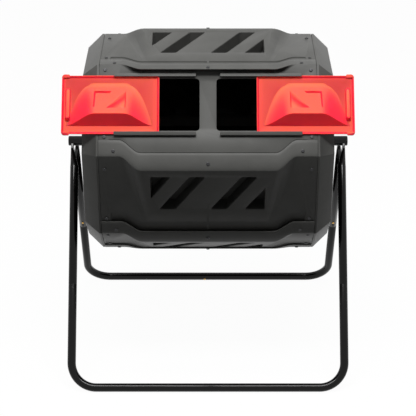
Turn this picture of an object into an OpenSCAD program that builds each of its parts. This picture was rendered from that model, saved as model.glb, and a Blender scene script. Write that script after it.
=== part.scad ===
// Dual-chamber compost tumbler on a tubular steel stand.
// X runs along the axle, the doors face -Y, Z is up and the floor is Z = 0 under the centre.

/* [Drum] */
// Length of the body panels along the axle
drum_len = 548; // [520:1:580]
// Width of the door face and of the face opposite it
door_face = 240; // [236:1:252]
// Distance between the door face and the face opposite it
across_door = 557; // [540:1:570]
// Width of the two faces square to the door face
side_face = 163; // [150:1:176]
// Distance between those two faces
across_side = 543; // [530:1:556]
// Lean of the door face back from upright, in degrees
door_lean = 36; // [28:1:42]
// Tilt of the raised middle of each vent panel, in degrees
swirl = 6.7; // [4:0.1:8]
// Half length of the raised middle of the panels
crest_half = 168; // [160:1:176]
// Half length at which the raised middle has run out
foot_half = 222; // [214:1:228]
// Wall of the moulded panels
wall = 3; // [2:0.5:4]
// Width of the rolled joint strip along each panel's leading edge
strip_w = 41; // [34:1:46]
// Turn of the rolled joint strip, in degrees
strip_turn = 14; // [8:1:18]

/* [Door panel] */
// Reach of the lip over the door track
lip_reach = 27; // [20:1:34]
// Distance from the lip's root to the door track
lip_drop = 17; // [14:1:20]
// Top edge of the upper rail, down from the lip's root
rail_top = 24.5; // [22:0.5:28]
// Width of each door rail
rail_w = 9.5; // [8:0.5:12]
// Distance between the outer edges of the two rails
rail_span = 162.5; // [150:0.5:166]
// Inner end of each rail from the middle of the drum
rail_in = 30; // [26:1:40]
// Outer end of each rail from the middle of the drum
rail_out = 235; // [225:1:240]
// Width of the post between the two hatches
post_w = 42; // [30:1:50]
// Outer edge of each hatch from the middle of the drum
hatch_out = 222; // [200:1:230]
// Height of each hatch
hatch_h = 136; // [120:1:138]
// Corner radius of each hatch
hatch_r = 9; // [5:1:16]

/* [Doors] */
// Width of each sliding door
door_w = 244; // [230:1:250]
// Distance from the middle of the drum to the near edge of each half-open door
door_near = 122; // [118:1:140]
// Thickness of the door's sheet
door_t = 4.5; // [3:0.5:6]
// Height of the raised scoop on each door
scoop_h = 21.5; // [15:0.5:30]
// Wall of the hollow scoop
scoop_wall = 3; // [2:0.5:4]
// Scoop's foot from the door's bottom edge
scoop_low = 22; // [20:1:30]
// Scoop's foot from the door's top edge
scoop_high = 25; // [22:1:32]
// Scoop's foot from the door's outer edge
scoop_outer = 17; // [14:1:24]
// Scoop's foot from the door's near edge
scoop_near = 20; // [14:1:28]
// Narrowing of the scoop's foot on each side towards the top
scoop_taper = 17; // [10:1:22]
// Bottom of the scoop's crest from the door's top edge
crest_low = 107; // [98:1:114]
// Width of the flat along the scoop's crest
crest_w = 9; // [8:1:20]
// Crest from the door's outer edge
crest_outer = 66; // [55:1:75]
// Crest from the door's near edge
crest_near = 80; // [70:1:90]
// Narrowing of the crest on each side towards the top
crest_taper = 4; // [0:1:8]
// Width of the ears that stop the door
ear_w = 20; // [12:1:26]
// Width of the grip rib
grip_w = 13; // [8:1:16]
// Height of the grip rib
grip_h = 88; // [60:1:100]
// How far the grip rib stands out of the door's sheet
grip_out = 6; // [4:1:12]
// Grip rib from the door's outer edge
grip_in = 9; // [5:1:12]
// Gap between door and panel, and between door and rail
door_gap = 0.8; // [0.5:0.1:1.2]

/* [Vents] */
// Height of the vent field on each panel
vent_h = 112; // [90:1:116]
// Width of each slanted vent
vent_w = 40; // [30:1:44]
// Distance between the two slanted vents
vent_pitch = 130; // [120:1:134]
// Half length of the vent field
vent_half = 144; // [140:1:148]
// Depth of the vent pockets
vent_depth = 24; // [14:1:30]
// Diameter of the air holes in the pocket floors
air_d = 6; // [4:0.5:8]
// Top of the vent field from the panel's leading edge
vent_top = 21; // [18:1:24]

/* [End covers] */
// Depth of each tapered end cover
cover_depth = 43; // [36:1:48]
// Inset of the cover's flat end from the drum's faces
cover_inset = 34.7; // [28:0.1:40]
// Straight rim of the cover beside the panels
cover_rim = 5; // [3:0.5:8]
// Reach of the cover's inner flange under the panels
flange_reach = 24; // [20:1:30]

/* [Axle and hubs] */
// Height of the axle over the floor
axle_h = 567; // [550:1:600]
// Outer diameter of the axle tube
axle_d = 26; // [25:0.5:28]
// Bore of the axle tube
axle_bore = 22.5; // [22:0.1:23.5]
// Reach of the axle's end caps past the leg tubes
axle_past = 5; // [4:0.5:12]
// Outer diameter of the hub bushes
bush_d = 40; // [36:1:46]
// Running clearance between bush and axle, on the radius
hub_gap = 0.08; // [0.05:0.01:0.1]

/* [Stand] */
// Gap between the end covers and the leg tubes
leg_gap = 27; // [25:1:31]
// Distance between the front and rear floor bars
stand_depth = 690; // [640:1:760]
// Outer diameter of the leg and floor tubes
tube_d = 22; // [20:0.5:24]
// Wall of the leg and floor tubes
tube_t = 1.5; // [1.2:0.1:2]
// Centreline radius of the bends
bend_r = 65; // [50:1:90]
// Distance from the axle to the leg joint
joint_at = 385; // [340:1:420]
// Length of the reduced spigot at each tube joint
spigot_len = 45; // [30:1:60]
// Thickness of the flattened leg tops
tongue_t = 6; // [5:0.5:7]
// Width of the flattened leg tops inside the axle tube
tongue_w = 18; // [16:0.5:19]
// Distance between the front and rear leg tops along the axle
tongue_step = 11; // [10:0.5:12]

/* [Fasteners] */
// Diameter of the panel screws
screw_d = 4; // [3:0.5:4.5]
// Edge screws from the ends of the panels
edge_inset = 14; // [12:0.5:17]
// Diameter of the stand's self-tapping screws
tap_d = 4; // [3:0.5:5]
// Diameter of the leg bolts
bolt_d = 8; // [6:1:8]

/* [Hidden] */
$fn = 48;

plastic = [0.17, 0.17, 0.165];
door_red = [0.93, 0.22, 0.16];
tube_black = [0.05, 0.05, 0.05];
brass = [0.78, 0.62, 0.35];
steel = [0.6, 0.6, 0.6];

FACES = 8;
DOOR = 0;
half_len = drum_len / 2;
leg_span = drum_len + 2 * (cover_depth + leg_gap) + tube_d;
axle_len = leg_span + tube_d + 2 * axle_past;
// How far a cutting solid reaches past the surface that it cuts
cut = 1;
// How deep a part's root sits in the sheet that carries it
root = wall / 2;

// ---- Drum section: a plane outline about the axle, as [y, z] ----

function unit(v) = v / norm(v);
function turn(v, a) = [v[0] * cos(a) - v[1] * sin(a), v[0] * sin(a) + v[1] * cos(a)];
function outward(d) = [d[1], -d[0]];
function cross2(a, b) = a[0] * b[1] - a[1] * b[0];
// Point where the line through p along d meets the line through q along e
function meet(p, d, q, e) = p + d * cross2(q - p, e) / cross2(d, e);

upright_corners = [
    [-across_door / 2, door_face / 2],
    [-across_door / 2, -door_face / 2],
    [-side_face / 2, -across_side / 2],
    [side_face / 2, -across_side / 2],
    [across_door / 2, -door_face / 2],
    [across_door / 2, door_face / 2],
    [side_face / 2, across_side / 2],
    [-side_face / 2, across_side / 2]
];
corners = [for (c = upright_corners) turn(c, -door_lean)];

function corner(k) = corners[(k + FACES) % FACES];
function base_dir(k) = unit(corner(k + 1) - corner(k));
// Face direction with s parts of the swirl; the door face stays flat
function face_dir(k, s) = turn(base_dir(k), (k + FACES) % FACES == DOOR ? 0 : swirl * s);
// Leading edge of face k
function edge(k, s) = meet(corner(k), face_dir(k - 1, s), corner(k + 1), face_dir(k, s));
function lip_edge(s) = corner(DOOR) + face_dir(DOOR - 1, s) * lip_reach * s;
function lead(k, s) = k % FACES == DOOR ? lip_edge(s) : edge(k, s);
function lead_dir(k, s) = k % FACES == DOOR ? turn(base_dir(k), swirl * s) : face_dir(k, s);

// The rolled strip starts on the face before, turns by strip_turn and ends just past the edge
function bend_angle(k, s) = acos(face_dir(k - 1, s) * lead_dir(k, s));
function strip_radius(k, s) =
    strip_w / (sin(strip_turn) - (1 - cos(strip_turn)) / tan(bend_angle(k, s)));
function strip_point(k, s, a) =
    lead(k, s) - face_dir(k - 1, s) * strip_w
    + face_dir(k - 1, s) * strip_radius(k, s) * sin(a)
    - outward(face_dir(k - 1, s)) * strip_radius(k, s) * (1 - cos(a));
function strip_normal(k, s, a) = turn(outward(face_dir(k - 1, s)), a);

// Last point of face k, where the next panel's strip begins
function tail(k, s) = lead(k + 1, s) - face_dir(k, s) * strip_w;

// Outer points of panel k's section, from its strip to its tail
function outer_points(k, s) = [
    strip_point(k, s, 0),
    strip_point(k, s, strip_turn / 2),
    strip_point(k, s, strip_turn),
    if (k % FACES == DOOR) corner(k) + base_dir(k) * lip_drop,
    tail(k, s)
];
function miter(n1, n2) = (n1 + n2) / (1 + n1 * n2);
// Normals of the section's parts, with those of the faces before and after at its ends
function normals(k, s, p) = concat(
    [outward(face_dir(k - 1, s))],
    [for (i = [0:len(p) - 2]) outward(unit(p[i + 1] - p[i]))],
    [outward(face_dir(k, s))]
);
// The same points moved inward by depth; both end points stay square to their faces
function inner_points(k, s, depth) =
    let (p = outer_points(k, s), n = normals(k, s, p), last = len(p) - 1)
    [for (i = [0:last]) p[i] - (i == 0 ? n[0] : i == last ? n[last + 1] : miter(n[i], n[i + 1])) * depth];

// Share of the swirl at a place along the drum
function ease(t) = t * t * (3 - 2 * t);
FLANK_STEPS = 5;
flank = [for (i = [0:FLANK_STEPS]) i / FLANK_STEPS];
stations = concat(
    [[-half_len, 0]],
    [for (t = flank) [-foot_half + (foot_half - crest_half) * t, ease(t)]],
    [for (t = flank) [crest_half + (foot_half - crest_half) * t, ease(1 - t)]],
    [[half_len, 0]]
);

function backward(list) = [for (i = [len(list) - 1:-1:0]) list[i]];

// A strip of triangles between two neighbouring rings of n points
function skin(rings, n) = [
    for (r = [0:rings - 2]) for (i = [0:n - 1])
        let (a = r * n + i, b = r * n + (i + 1) % n)
        each [[a, b + n, b], [a, a + n, b + n]]
];

// Triangles that close the end ring whose first point is at start, between its outer and inner points
function end_skin(start, n) = [
    for (i = [0:n / 2 - 2])
        let (a = start + i, b = start + n - 1 - i)
        each [[a, a + 1, b - 1], [a, b - 1, b]]
];

module panel_shell(k) {
    sections = [for (st = stations) concat(outer_points(k, st[1]), backward(inner_points(k, st[1], wall)))];
    n = len(sections[0]);
    rings = len(stations);
    points = [for (r = [0:rings - 1]) for (q = sections[r]) [stations[r][0], q[0], q[1] + axle_h]];
    polyhedron(
        points,
        concat(end_skin(0, n), skin(rings, n), [for (t = end_skin((rings - 1) * n, n)) backward(t)]),
        convexity = 8
    );
}

// Moves children drawn with x along the axle, -y down the face and z outward onto face k
module on_face(k, s) {
    up = -face_dir(k, s);
    at = edge(k, s);
    translate([0, at[0], at[1] + axle_h]) rotate([atan2(up[1], up[0]), 0, 0]) children();
}

// ---- Vents ----

vent_slope = 0.652;
slant = vent_h * vent_slope;
bar_left = (slant - vent_w - vent_pitch) / 2;
corner_cut = 50;

function half_turn(list) = [for (p = list) [-p[0], -vent_h - p[1]]];
vent_bar = [
    [bar_left, 0],
    [bar_left + vent_w, 0],
    [bar_left + vent_w - slant, -vent_h],
    [bar_left - slant, -vent_h]
];
vent_corner = [
    [-vent_half, 0],
    [-vent_half + corner_cut, 0],
    [-vent_half, -corner_cut / vent_slope]
];
vents = [vent_corner, vent_bar, half_turn(vent_bar), half_turn(vent_corner)];
pocket_wall = 2;
air_along = [0.2, 0.5, 0.8];

function middle(list) = [
    (list[0][0] + list[1][0] + list[2][0]) / 3,
    (list[0][1] + list[1][1] + list[2][1]) / 3
];
function bar_middle(v, t) = (v[0] + v[1]) / 2 * (1 - t) + (v[2] + v[3]) / 2 * t;
function air_spots(v) = len(v) == 3 ? [middle(v)] : [for (t = air_along) bar_middle(v, t)];

module vent_panel(k) {
    color(plastic) difference() {
        union() {
            drilled_shell(k);
            on_face(k, 1) translate([0, -vent_top, -vent_depth])
                for (v = vents) linear_extrude(vent_depth - root) offset(delta = pocket_wall) polygon(v);
        }
        on_face(k, 1) translate([0, -vent_top, 0]) for (v = vents) {
            translate([0, 0, pocket_wall - vent_depth]) linear_extrude(vent_depth) polygon(v);
            for (a = air_spots(v)) translate([a[0], a[1], -vent_depth - cut])
                cylinder(d = air_d, h = pocket_wall + 2 * cut, $fn = 16);
        }
    }
}

// ---- Panel screws ----

boss_r = 6;
boss_h = 9;
boss_web = 7.4;
web_past = 8;
boss_margin = 7;
// Bosses stop this far under the rolled strip, whose underside curves away from them
boss_gap = 0.5;
head_h = 2;
head_d = 9;
head_taper = 2;
hole_clear = 0.4;
seat_gap = 0.3;
strip_screw_x = half_len - flange_reach - boss_r - boss_margin;
edge_screw_x = half_len - edge_inset;
tail_margin = 9;

// Upper edge screw of each face, down from the face's leading corner
UPRIGHT = [2, 6];
door_screw_at = 15;
upright_screw_at = 19;
slant_screw_at = 40;
function face_len(k) = norm(corner(k + 1) - corner(k));
function is_upright(k) = len(search(k % FACES, UPRIGHT)) > 0;
function edge_places(k) = [
    k % FACES == DOOR ? door_screw_at : is_upright(k) ? upright_screw_at : slant_screw_at,
    face_len(k) - strip_w - tail_margin
];

// Moves children to the middle of the strip ahead of face k, with z square to its surface
module on_strip(k, s, x) {
    a = strip_turn / 2;
    q = strip_point(k, s, a);
    n = strip_normal(k, s, a);
    translate([x, q[0], q[1] + axle_h]) rotate([atan2(n[1], n[0]) - 90, 0, 0]) children();
}

// Panel with the strip's clearance holes, the bosses under the next panel's strip and the edge holes
module drilled_shell(k) {
    difference() {
        union() {
            panel_shell(k);
            for (side = [-1, 1]) on_strip(k + 1, 0, side * strip_screw_x) {
                translate([0, 0, -wall - boss_h]) cylinder(r = boss_r, h = boss_h - boss_gap);
                translate([-boss_r, 0, -wall - boss_h]) cube([boss_r * 2, strip_w / 2 + web_past, boss_web]);
            }
        }
        for (side = [-1, 1]) {
            on_strip(k, 0, side * strip_screw_x) clearance_hole();
            on_strip(k + 1, 0, side * strip_screw_x) translate([0, 0, -wall - boss_h - cut])
                cylinder(d = screw_d, h = boss_h + 2 * cut);
            for (v = edge_places(k)) on_face(k, 0) translate([side * edge_screw_x, -v, 0]) clearance_hole();
        }
        on_strip(k, 1, 0) clearance_hole();
    }
}

module clearance_hole() {
    translate([0, 0, -wall - cut]) cylinder(d = screw_d + hole_clear, h = wall + 2 * cut);
}

// Screw with its seat at z = 0 and its shank going down
module panel_screw(length) {
    cylinder(d1 = head_d, d2 = head_d - head_taper, h = head_h, $fn = 24);
    translate([0, 0, -length]) cylinder(d = screw_d, h = length + 0.1, $fn = 24);
}

boss_screw_short = 1;
lip_screw_past = 1.5;
boss_screw = wall + boss_h - boss_screw_short;
lip_screw = wall + lip_screw_past;

module strip_screws() {
    color(tube_black) for (k = [0:FACES - 1]) {
        for (side = [-1, 1]) on_strip(k, 0, side * strip_screw_x) panel_screw(boss_screw);
        on_strip(k, 1, 0) panel_screw(k == DOOR ? lip_screw : boss_screw);
    }
}

module edge_screws() {
    color(tube_black) for (k = [0:FACES - 1]) for (side = [-1, 1]) for (v = edge_places(k))
        on_face(k, 0) translate([side * edge_screw_x, -v, 0]) panel_screw(wall * 2 + seat_gap);
}

// ---- Door panel with its hatches and rails ----

hatch_w = hatch_out - post_w / 2;
rail_t = 2.2;
rail_foot = 3;
track_h = door_gap * 2 + door_t;
side_gap = 1;
door_top = rail_top + rail_foot + side_gap;
door_high = rail_span - 2 * rail_foot - 2 * side_gap;
hatch_top = rail_top + (rail_span - hatch_h) / 2;
rib_x = [34, 101, 168];
rib_t = 2.5;
rib_foot = 4;

module rounded_rect(w, h, r) {
    translate([0, r]) square([w, h - 2 * r]);
    translate([r, 0]) square([w - 2 * r, h]);
    for (x = [r, w - r], y = [r, h - r]) translate([x, y]) circle(r);
}

module rail(side) {
    x0 = side < 0 ? -rail_out : rail_in;
    length = rail_out - rail_in;
    for (upper = [true, false]) {
        foot_y = upper ? -rail_top - rail_foot : -rail_top - rail_span;
        lip_y = upper ? -rail_top - rail_w : -rail_top - rail_span;
        translate([x0, foot_y, -root]) cube([length, rail_foot, track_h + root + rail_t]);
        translate([x0, lip_y, track_h]) cube([length, rail_w, rail_t]);
    }
}

module door_panel() {
    color(plastic) difference() {
        union() {
            drilled_shell(DOOR);
            on_face(DOOR, 0) for (side = [-1, 1]) {
                rail(side);
                for (x = rib_x) translate([side * x - rib_t / 2, -rail_top, -root])
                    cube([rib_t, rail_top - lip_drop + rib_foot, track_h + root]);
            }
        }
        on_face(DOOR, 0) for (side = [-1, 1])
            translate([side < 0 ? -hatch_out : post_w / 2, -hatch_top - hatch_h, -wall - cut])
            linear_extrude(wall + 2 * cut) rounded_rect(hatch_w, hatch_h, hatch_r);
    }
}

// ---- Sliding doors ----

ear_up = 3;
skin_t = 0.1;
scoop_foot = [
    [-door_w + scoop_outer, -door_high + scoop_low],
    [-scoop_near, -door_high + scoop_low],
    [-scoop_near - scoop_taper, -scoop_high],
    [-door_w + scoop_outer + scoop_taper, -scoop_high]
];
scoop_crest = [
    [-door_w + crest_outer, -crest_low],
    [-crest_near, -crest_low],
    [-crest_near - crest_taper, -crest_low + crest_w],
    [-door_w + crest_outer + crest_taper, -crest_low + crest_w]
];

// One door, drawn with its near edge at x = 0 and its top edge at y = 0, reaching to -x and -y
module door_shape() {
    difference() {
        union() {
            translate([-door_w, -door_high, 0]) cube([door_w, door_high, door_t]);
            translate([-door_w, -door_high - ear_up, 0]) cube([ear_w, door_high + 2 * ear_up, door_t]);
            scoop(0, 0, door_t);
            translate([-door_w + grip_in, -(door_high + grip_h) / 2, 0])
                cube([grip_w, grip_h, door_t + grip_out]);
        }
        scoop(scoop_wall, -cut, door_t - cut);
    }
}

// Scoop whose foot reaches from low to high; inset makes the hollow behind it
module scoop(inset, low, high) {
    hull() {
        translate([0, 0, low]) linear_extrude(high - low) offset(delta = -inset) polygon(scoop_foot);
        translate([0, 0, door_t + scoop_h - inset - skin_t]) linear_extrude(skin_t)
            offset(delta = -inset) polygon(scoop_crest);
    }
}

module sliding_door_left() {
    color(door_red) on_face(DOOR, 0) translate([-door_near, -door_top, door_gap]) door_shape();
}

module sliding_door_right() {
    color(door_red) mirror([1, 0, 0]) sliding_door_left();
}

// ---- End covers ----

plate_inset = 0.5;
end_wall_inset = 1.5;
ring_depth = wall * 2 + seat_gap;

function inset_corner(k, depth) = meet(
    corner(k) - outward(base_dir(k - 1)) * depth, base_dir(k - 1),
    corner(k) - outward(base_dir(k)) * depth, base_dir(k)
);
function octagon(depth) = [for (k = [0:FACES - 1]) inset_corner(k, depth)];
// Inner outline of the drum at the given depth under the panels' surface
function drum_ring(s, depth) = [for (k = [0:FACES - 1]) each without_last(inner_points(k, s, depth))];
function without_last(p) = [for (i = [0:len(p) - 2]) p[i]];

// A slab of the section outline standing square to the axle, from x over the thickness t
module slab(x, t, outline) {
    translate([x, 0, axle_h]) rotate([90, 0, 90]) linear_extrude(t) polygon(outline);
}

module end_cover_shell() {
    difference() {
        hull() {
            slab(half_len, cover_rim, octagon(0));
            slab(half_len + cover_depth - skin_t, skin_t, octagon(cover_inset));
        }
        hull() {
            slab(half_len - cut, cover_rim, octagon(wall));
            slab(half_len + cover_depth - wall - skin_t, skin_t, octagon(cover_inset + end_wall_inset));
        }
    }
    difference() {
        slab(half_len, wall, octagon(plate_inset));
        slab(half_len - cut, wall + 2 * cut, drum_ring(0, ring_depth));
    }
    difference() {
        slab(half_len - flange_reach, flange_reach + wall, drum_ring(0, wall + seat_gap));
        slab(half_len - flange_reach - cut, flange_reach + wall + 2 * cut, drum_ring(0, ring_depth));
    }
}

split_angle = atan2(corner(1)[1], corner(1)[0]);

module end_cover(right, upper) {
    color(plastic) mirror([right ? 0 : 1, 0, 0]) difference() {
        end_cover_shell();
        translate([0, 0, axle_h]) rotate([0, 90, 0])
            cylinder(d = bush_d, h = half_len + cover_depth + cut, $fn = 64);
        for (k = [0:FACES - 1], v = edge_places(k)) on_face(k, 0)
            translate([edge_screw_x, -v, -ring_depth - cut])
                cylinder(d = screw_d, h = wall + 2 * cut, $fn = 24);
        translate([0, 0, axle_h]) rotate([split_angle, 0, 0])
            translate([0, -across_door, upper ? 0 : -across_door])
            cube([half_len * 2, across_door * 2, across_door]);
    }
}

module end_cover_left_upper() { end_cover(false, true); }
module end_cover_left_lower() { end_cover(false, false); }
module end_cover_right_upper() { end_cover(true, true); }
module end_cover_right_lower() { end_cover(true, false); }

bush_len = 16;
bush_flange_w = 7;
bush_flange_t = 3;

module hub_bush(right) {
    color(plastic) mirror([right ? 0 : 1, 0, 0])
        translate([half_len + cover_depth, 0, axle_h]) rotate([0, 90, 0]) difference() {
            union() {
                translate([0, 0, -bush_len]) cylinder(d = bush_d, h = bush_len, $fn = 64);
                cylinder(d = bush_d + 2 * bush_flange_w, h = bush_flange_t, $fn = 64);
            }
            translate([0, 0, -bush_len - cut])
                cylinder(d = axle_d + 2 * hub_gap, h = bush_len + bush_flange_t + 2 * cut, $fn = 64);
        }
}

module hub_bush_left() { hub_bush(false); }
module hub_bush_right() { hub_bush(true); }

// ---- Divider between the two chambers ----

divider_t = 5;
divider_gap = 2;
divider_hole = axle_d + 2 * divider_gap;
// The divider's bosses stop this far under the panels' inner face
boss_short = 1.5;

// The divider keeps out of the door panel's hollow lip
function divider_part(k, p) = k == DOOR ? [p[0], p[3]] : without_last(p);
divider_outline = [for (k = [0:FACES - 1]) each divider_part(k, inner_points(k, 1, wall))];

module divider_panel() {
    color(plastic) difference() {
        union() {
            slab(-divider_t / 2, divider_t, divider_outline);
            for (k = [1:FACES - 1]) on_strip(k, 1, 0)
                translate([0, 0, -wall - 2 * boss_short - boss_h])
                    cylinder(r = boss_r, h = boss_h + boss_short);
        }
        for (k = [1:FACES - 1]) on_strip(k, 1, 0)
            translate([0, 0, -wall - boss_h - cut]) cylinder(d = screw_d, h = boss_h + 3 * cut);
        translate([-divider_t, 0, axle_h]) rotate([0, 90, 0])
            cylinder(d = divider_hole, h = divider_t * 2, $fn = 64);
    }
}

// ---- Axle ----

cap_t = 3;
axle_cut = axle_len / 2 - cap_t;
tongue_x = [leg_span / 2 + tongue_step / 2, leg_span / 2 - tongue_step / 2];
lean = atan2(axle_h - tube_d / 2, stand_depth / 2);
leg_len = norm([axle_h - tube_d / 2, stand_depth / 2]);
slot_gap = 0.2;

// Puts a part drawn with x across, y outward from the axle to the floor bar and z up onto a leg's line
module on_leg(front) {
    translate([0, 0, axle_h]) mirror([0, front ? 0 : 1, 0]) rotate([180 + lean, 0, 0]) children();
}

module axle_tube() {
    color(tube_black) difference() {
        translate([-axle_cut, 0, axle_h]) rotate([0, 90, 0]) cylinder(d = axle_d, h = axle_cut * 2, $fn = 64);
        translate([-axle_cut - cut, 0, axle_h]) rotate([0, 90, 0])
            cylinder(d = axle_bore, h = 2 * axle_cut + 2 * cut, $fn = 64);
        for (side = [-1, 1]) for (i = [0, 1]) on_leg(i == 0)
            translate([side * tongue_x[i] - tongue_t / 2 - slot_gap, 0, -tongue_w / 2 - slot_gap])
                cube([tongue_t + 2 * slot_gap, axle_d, tongue_w + 2 * slot_gap]);
    }
}

cap_plug = 4;
cap_hollow = 16;
cap_round = 1.5;

module axle_end_cap(right) {
    color(tube_black) mirror([right ? 0 : 1, 0, 0])
        translate([axle_cut, 0, axle_h]) rotate([0, 90, 0]) difference() {
            union() {
                cylinder(d = axle_d, h = cap_t - cap_round, $fn = 64);
                translate([0, 0, cap_t - cap_round])
                    cylinder(d1 = axle_d, d2 = axle_d - 2 * cap_round, h = cap_round, $fn = 64);
                translate([0, 0, -cap_plug]) cylinder(d = axle_bore, h = cap_plug + cap_t / 2, $fn = 64);
            }
            translate([0, 0, -cap_plug - cut]) cylinder(d = cap_hollow, h = cap_plug + cap_t / 2, $fn = 64);
        }
}

module axle_end_cap_left() { axle_end_cap(false); }
module axle_end_cap_right() { axle_end_cap(true); }

bolt_head_h = 4.5;
bolt_head_d = 14;
bolt_past_nut = 3;
nut_h = 6;
spacer_wall = 4;
stack_out = tongue_x[0] + tongue_t / 2;
stack_in = tongue_x[1] - tongue_t / 2;

module along_axle(side, x) {
    mirror([side < 0 ? 1 : 0, 0, 0]) translate([x, 0, axle_h]) rotate([0, 90, 0]) children();
}

module leg_bolts() {
    color(steel) for (side = [-1, 1]) {
        along_axle(side, stack_out) cylinder(d = bolt_head_d, h = bolt_head_h, $fn = 6);
        along_axle(side, stack_in - nut_h - bolt_past_nut)
            cylinder(d = bolt_d, h = stack_out - stack_in + nut_h + bolt_past_nut + skin_t, $fn = 32);
    }
}

module leg_nuts() {
    color(steel) for (side = [-1, 1]) along_axle(side, stack_in - nut_h) difference() {
        cylinder(d = bolt_head_d, h = nut_h, $fn = 6);
        translate([0, 0, -cut]) cylinder(d = bolt_d, h = nut_h + 2 * cut, $fn = 32);
    }
}

module leg_spacers() {
    color(steel) for (side = [-1, 1]) along_axle(side, tongue_x[1] + tongue_t / 2) difference() {
        cylinder(d = bolt_d + 2 * spacer_wall, h = tongue_step - tongue_t, $fn = 32);
        translate([0, 0, -cut]) cylinder(d = bolt_d, h = tongue_step - tongue_t + 2 * cut, $fn = 32);
    }
}

// ---- Legs ----

// The leg top is round up to round_start, then flattens to a plate that narrows into the axle's slot
tongue_flat = 26;
flat_end = 22;
neck_end = axle_d / 2 + 1;
round_start = 68;
tap_at = 21;
spigot_d = tube_d - 2 * tube_t;
blend_step = 0.2;
blend_len = 2;

module upper_leg(front, side) {
    x = side * leg_span / 2;
    tx = side * tongue_x[front ? 0 : 1];
    color(tube_black) on_leg(front) difference() {
        union() {
            translate([x, round_start, 0]) rotate([-90, 0, 0]) cylinder(d = tube_d, h = joint_at - round_start);
            hull() {
                translate([x, round_start, 0]) rotate([-90, 0, 0])
                    cylinder(d = tube_d - 2 * blend_step, h = blend_len, $fn = 32);
                translate([tx - tongue_t / 2, flat_end, -tongue_flat / 2])
                    cube([tongue_t, 2 * blend_step, tongue_flat]);
            }
            translate([tx - tongue_t / 2, 0, 0]) rotate([90, 0, 90]) linear_extrude(tongue_t) polygon([
                [0, -tongue_w / 2],
                [neck_end, -tongue_w / 2],
                [flat_end, -tongue_flat / 2],
                [flat_end + blend_step, -tongue_flat / 2],
                [flat_end + blend_step, tongue_flat / 2],
                [flat_end, tongue_flat / 2],
                [neck_end, tongue_w / 2],
                [0, tongue_w / 2]
            ]);
            translate([tx - tongue_t / 2, 0, 0]) rotate([0, 90, 0]) cylinder(d = tongue_w, h = tongue_t);
        }
        translate([tx - tongue_t, 0, 0]) rotate([0, 90, 0]) cylinder(d = bolt_d, h = tongue_t * 2);
        translate([x, joint_at - spigot_len, 0]) rotate([-90, 0, 0])
            cylinder(d = spigot_d, h = spigot_len + cut);
        translate([x, joint_at - tap_at, 0]) cylinder(d = tap_d, h = tube_d, $fn = 24);
    }
}

module upper_leg_front_left() { upper_leg(true, -1); }
module upper_leg_front_right() { upper_leg(true, 1); }
module upper_leg_rear_left() { upper_leg(false, -1); }
module upper_leg_rear_right() { upper_leg(false, 1); }

// ---- Foot tubes: the lower leg, the bend and half of the floor bar ----

bar_split = 6;
bar_tap = 10;
bar_spigot = spigot_len / 2;
spigot_root = 0.5;
bend_centre_y = leg_len - bend_r;

// Solid of the tube's run with the given radius, on the right-hand side
module foot_run(r, from, to_x) {
    bx = leg_span / 2 - bend_r;
    translate([leg_span / 2, from, 0]) rotate([-90, 0, 0]) cylinder(r = r, h = bend_centre_y - from);
    translate([bx, bend_centre_y, 0]) rotate_extrude(angle = 90, $fn = 96) translate([bend_r, 0]) circle(r);
    translate([to_x, leg_len, 0]) rotate([0, 90, 0]) cylinder(r = r, h = bx - to_x);
}

// The right bar ends in a spigot, and the left bar's end fits over it
module foot_tube(front, side) {
    has_spigot = side > 0;
    end_x = has_spigot ? bar_split : -bar_split;
    color(tube_black) on_leg(front) mirror([side > 0 ? 0 : 1, 0, 0]) difference() {
        union() {
            foot_run(tube_d / 2, joint_at, end_x);
            translate([leg_span / 2, joint_at - spigot_len, 0]) rotate([-90, 0, 0])
                cylinder(d = spigot_d, h = spigot_len + spigot_root);
            if (has_spigot) translate([end_x - bar_spigot, leg_len, 0]) rotate([0, 90, 0])
                cylinder(d = spigot_d, h = bar_spigot + spigot_root);
        }
        if (!has_spigot) translate([end_x - cut, leg_len, 0]) rotate([0, 90, 0])
            cylinder(d = spigot_d, h = bar_spigot + cut);
        translate([leg_span / 2, joint_at - tap_at, 0]) cylinder(d = tap_d, h = tube_d, $fn = 24);
        translate([has_spigot ? -bar_tap : bar_tap, leg_len, 0]) cylinder(d = tap_d, h = tube_d, $fn = 24);
    }
}

module foot_tube_front_left() { foot_tube(true, -1); }
module foot_tube_front_right() { foot_tube(true, 1); }
module foot_tube_rear_left() { foot_tube(false, -1); }
module foot_tube_rear_right() { foot_tube(false, 1); }

tap_head_w = 1.5;
tap_head_taper = 1;
tap_head_h = 1.4;
tap_shank = tube_d / 2 + 0.5;

// Self-tapping screw standing on the tube's outer face, drawn from the tube's centre line up z
module tap_screw() {
    cylinder(d = tap_d, h = tap_shank, $fn = 24);
    translate([0, 0, tube_d / 2]) cylinder(
        d1 = tap_d + 2 * tap_head_w,
        d2 = tap_d + 2 * tap_head_w - 2 * tap_head_taper,
        h = tap_head_h,
        $fn = 24
    );
}

module leg_joint_screws() {
    color(brass) for (front = [true, false], side = [-1, 1]) on_leg(front)
        translate([side * leg_span / 2, joint_at - tap_at, 0]) tap_screw();
}

module foot_bar_screws() {
    color(brass) for (front = [true, false]) on_leg(front) translate([-bar_tap, leg_len, 0]) tap_screw();
}

module vent_panel_top() { vent_panel(7); }
module vent_panel_front() { vent_panel(1); }
module vent_panel_front_low() { vent_panel(2); }
module vent_panel_bottom() { vent_panel(3); }
module vent_panel_rear_low() { vent_panel(4); }
module vent_panel_rear() { vent_panel(5); }
module vent_panel_rear_high() { vent_panel(6); }

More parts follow.
